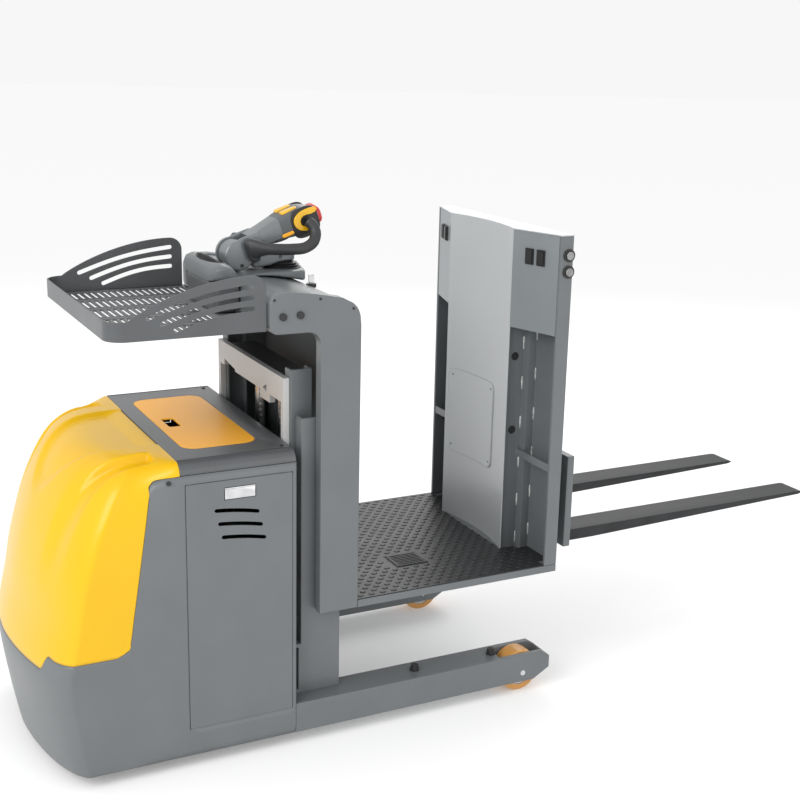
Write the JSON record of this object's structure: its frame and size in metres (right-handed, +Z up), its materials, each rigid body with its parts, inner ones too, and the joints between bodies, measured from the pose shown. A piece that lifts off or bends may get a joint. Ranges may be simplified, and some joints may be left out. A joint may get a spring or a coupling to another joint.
{
  "type": "electric low-level order picker truck",
  "caption": "Ride-on electric order picker with rounded body, two-stage mast, lifting operator cabin, tray, steering tiller and load forks on support legs.",
  "frame": {"origin": "middle of the overall box on the floor", "axes": "+X towards the fork tips, +Y to the truck's left-hand side seen from the forks, +Z up"},
  "size_m": [2.895, 0.824, 1.596],
  "materials": {
    "body_grey": "satin powder coat",
    "hood_yellow": "semi-gloss",
    "lid_orange": "semi-gloss",
    "cap_dark": "satin powder coat",
    "cabin_grey": "satin powder coat",
    "panel_light": "satin powder coat",
    "beam_light": "satin paint",
    "fork_black": "satin paint",
    "mat_rubber": "lens-pattern mat",
    "black_rubber": "matte",
    "black_plastic": "fine grain",
    "tyre_amber": "cast polyurethane",
    "bright_steel": "bright",
    "dark_steel": "oiled",
    "battery_case": "moulded",
    "button_red": "gloss",
    "button_yellow": "gloss",
    "head_grey": "fine grain"
  },
  "bodies": {
    "chassis": {"chassis_frame": "cap_dark", "support_legs": "body_grey", "body_skirt": "body_grey", "front_hood": "hood_yellow", "top_cover": "cap_dark", "battery_pack": "battery_case", "power_unit": "dark_steel", "load_wheel_axles": "bright_steel", "leg_buffers": "black_rubber", "body_screws": "dark_steel", "mast_rails": "body_grey", "lift_cylinders": "dark_steel"},
    "lid": {"battery_lid": "lid_orange"},
    "door_left": {"side_door_left": "body_grey"},
    "door_right": {"side_door_right": "body_grey"},
    "latch_left": {"door_latch_left": "bright_steel"},
    "latch_right": {"door_latch_right": "bright_steel"},
    "drive": {"drive_unit": "dark_steel"},
    "drive_tyre": {"drive_wheel": "tyre_amber"},
    "load_tyre_left": {"load_wheel_left": "tyre_amber"},
    "load_tyre_right": {"load_wheel_right": "tyre_amber"},
    "inner_mast": {"lift_rods": "bright_steel", "inner_rails": "cabin_grey", "inner_crossbeam": "beam_light", "lift_chains": "bright_steel"},
    "sheaves": {"chain_sheaves": "dark_steel"},
    "cabin": {"cabin_column_left": "cabin_grey", "cabin_column_right": "cabin_grey", "carriage_frame": "cap_dark", "platform_deck": "cabin_grey", "floor_mat": "mat_rubber", "front_panel": "cabin_grey", "console_pod": "cabin_grey", "tray_floor": "cap_dark", "tray_rim": "cap_dark", "backrest_posts": "cabin_grey", "backrest_panel": "panel_light", "backrest_sides": "cabin_grey", "hatch_cover": "panel_light", "switch_bezels": "black_plastic", "cabin_screws": "dark_steel", "fork_mast": "cap_dark"},
    "fork_ram": {"fork_lift_rod": "bright_steel"},
    "carriage": {"fork_carriage": "cabin_grey", "forks": "fork_black"},
    "rocker_lf": {"rocker_left_front": "black_plastic"},
    "rocker_lr": {"rocker_left_rear": "black_plastic"},
    "rocker_rf": {"rocker_right_front": "black_plastic"},
    "rocker_rr": {"rocker_right_rear": "black_plastic"},
    "push_upper": {"push_button_upper": "head_grey"},
    "push_lower": {"push_button_lower": "head_grey"},
    "pedal": {"foot_pedal": "black_plastic"},
    "key": {"ignition_key": "bright_steel"},
    "tiller": {"tiller_stem": "cabin_grey"},
    "arm": {"tiller_arm": "head_grey", "grip_loops": "black_rubber"},
    "throttle": {"thumb_throttle": "button_yellow"},
    "belly": {"belly_button": "button_red"},
    "head_button_left": {"tiller_button_left": "button_yellow"},
    "head_button_right": {"tiller_button_right": "button_yellow"}
  },
  "joints": [
    {"name": "cabin_lift", "type": "slide", "parent": "chassis", "child": "cabin", "axis": [0, 0, 1], "range_m": [-0.2527, 0.88]},
    {"name": "mast_extend", "type": "slide", "parent": "chassis", "child": "inner_mast", "axis": [0, 0, 1], "range_m": [-0.127, 0.4405]},
    {"name": "sheave_turn", "type": "hinge", "parent": "inner_mast", "child": "sheaves", "pos_m": [-0.5895, 0, 1.062], "axis": [0, 1, 0], "range_deg": [-200, 680]},
    {"name": "fork_lift", "type": "slide", "parent": "cabin", "child": "carriage", "axis": [0, 0, 1], "range_m": [-0.135, 0.62]},
    {"name": "fork_ram_extend", "type": "slide", "parent": "cabin", "child": "fork_ram", "axis": [0, 0, 1], "range_m": [-0.068, 0.3105]},
    {"name": "tiller_steer", "type": "hinge", "parent": "cabin", "child": "tiller", "pos_m": [-0.5535, 0, 1.45], "axis": [0, 0, 1], "range_deg": [-90, 90]},
    {"name": "drive_steer", "type": "hinge", "parent": "chassis", "child": "drive", "pos_m": [-1.1385, 0, 0.3], "axis": [0, 0, 1], "range_deg": [-90, 90]},
    {"name": "drive_roll", "type": "hinge", "parent": "drive", "child": "drive_tyre", "pos_m": [-1.1385, 0, 0.115], "axis": [0, 1, 0], "continuous": true},
    {"name": "load_roll_left", "type": "hinge", "parent": "chassis", "child": "load_tyre_left", "pos_m": [0.1415, -0.3555, 0.071], "axis": [0, 1, 0], "continuous": true},
    {"name": "load_roll_right", "type": "hinge", "parent": "chassis", "child": "load_tyre_right", "pos_m": [0.1415, 0.3555, 0.071], "axis": [0, 1, 0], "continuous": true},
    {"name": "tiller_tilt", "type": "hinge", "parent": "tiller", "child": "arm", "pos_m": [-0.7035, 0, 1.45], "axis": [0, -1, 0], "range_deg": [-6, 60]},
    {"name": "thumb_throttle_turn", "type": "hinge", "parent": "arm", "child": "throttle", "pos_m": [-0.49746, 0, 1.55053], "axis": [0, 1, 0], "range_deg": [-30, 30], "stiffness_Nm_per_rad": 0.3},
    {"name": "belly_press", "type": "slide", "parent": "arm", "child": "belly", "axis": [-0.9397, 0, -0.342], "range_m": [0, 0.008], "stiffness_N_per_m": 600},
    {"name": "head_button_left_press", "type": "slide", "parent": "arm", "child": "head_button_left", "axis": [0.342, 0, -0.9397], "range_m": [0, 0.004], "stiffness_N_per_m": 500},
    {"name": "head_button_right_press", "type": "slide", "parent": "arm", "child": "head_button_right", "axis": [0.342, 0, -0.9397], "range_m": [0, 0.004], "stiffness_N_per_m": 500},
    {"name": "key_turn", "type": "hinge", "parent": "cabin", "child": "key", "pos_m": [-0.5105, -0.14, 1.375], "axis": [0, 0, 1], "range_deg": [-90, 0]},
    {"name": "pedal_press", "type": "hinge", "parent": "cabin", "child": "pedal", "pos_m": [-0.2355, -0.168, 0.4384], "axis": [0, 1, 0], "range_deg": [0, 1], "stiffness_Nm_per_rad": 20},
    {"name": "rocker_lf_rock", "type": "hinge", "parent": "cabin", "child": "rocker_lf", "pos_m": [0.17247, -0.27342, 1.438], "axis": [0.2845, -0.9587, 0], "range_deg": [-4, 4], "stiffness_Nm_per_rad": 0.3},
    {"name": "rocker_lr_rock", "type": "hinge", "parent": "cabin", "child": "rocker_lr", "pos_m": [0.18582, -0.31842, 1.438], "axis": [0.2845, -0.9587, 0], "range_deg": [-4, 4], "stiffness_Nm_per_rad": 0.3},
    {"name": "rocker_rf_rock", "type": "hinge", "parent": "cabin", "child": "rocker_rf", "pos_m": [0.17247, 0.27342, 1.438], "axis": [0.2845, 0.9587, 0], "range_deg": [-4, 4], "stiffness_Nm_per_rad": 0.3},
    {"name": "rocker_rr_rock", "type": "hinge", "parent": "cabin", "child": "rocker_rr", "pos_m": [0.18582, 0.31842, 1.438], "axis": [0.2845, 0.9587, 0], "range_deg": [-4, 4], "stiffness_Nm_per_rad": 0.3},
    {"name": "push_upper_press", "type": "slide", "parent": "cabin", "child": "push_upper", "axis": [0, 1, 0], "range_m": [0, 0.0025], "stiffness_N_per_m": 600},
    {"name": "push_lower_press", "type": "slide", "parent": "cabin", "child": "push_lower", "axis": [0, 1, 0], "range_m": [0, 0.0025], "stiffness_N_per_m": 600},
    {"name": "lid_open", "type": "hinge", "parent": "chassis", "child": "lid", "pos_m": [-0.7355, 0, 0.942], "axis": [0, 1, 0], "range_deg": [0, 75]},
    {"name": "door_tilt_left", "type": "hinge", "parent": "chassis", "child": "door_left", "pos_m": [-0.8405, -0.41, 0.128], "axis": [1, 0, 0], "range_deg": [0, 30]},
    {"name": "latch_left_lift", "type": "hinge", "parent": "door_left", "child": "latch_left", "pos_m": [-0.8395, -0.407, 0.853], "axis": [-1, 0, 0], "range_deg": [0, 40], "stiffness_Nm_per_rad": 0.5},
    {"name": "door_tilt_right", "type": "hinge", "parent": "chassis", "child": "door_right", "pos_m": [-0.8405, 0.41, 0.128], "axis": [-1, 0, 0], "range_deg": [0, 30]},
    {"name": "latch_right_lift", "type": "hinge", "parent": "door_right", "child": "latch_right", "pos_m": [-0.8395, 0.407, 0.853], "axis": [1, 0, 0], "range_deg": [0, 40], "stiffness_Nm_per_rad": 0.5}
  ],
  "couplings": [
    {"joint": "mast_extend", "follows": "cabin_lift", "ratio": 0.5},
    {"joint": "sheave_turn", "follows": "cabin_lift", "rad_per_m": 13.158},
    {"joint": "fork_ram_extend", "follows": "fork_lift", "ratio": 0.5},
    {"joint": "drive_steer", "follows": "tiller_steer", "ratio": 1}
  ]
}
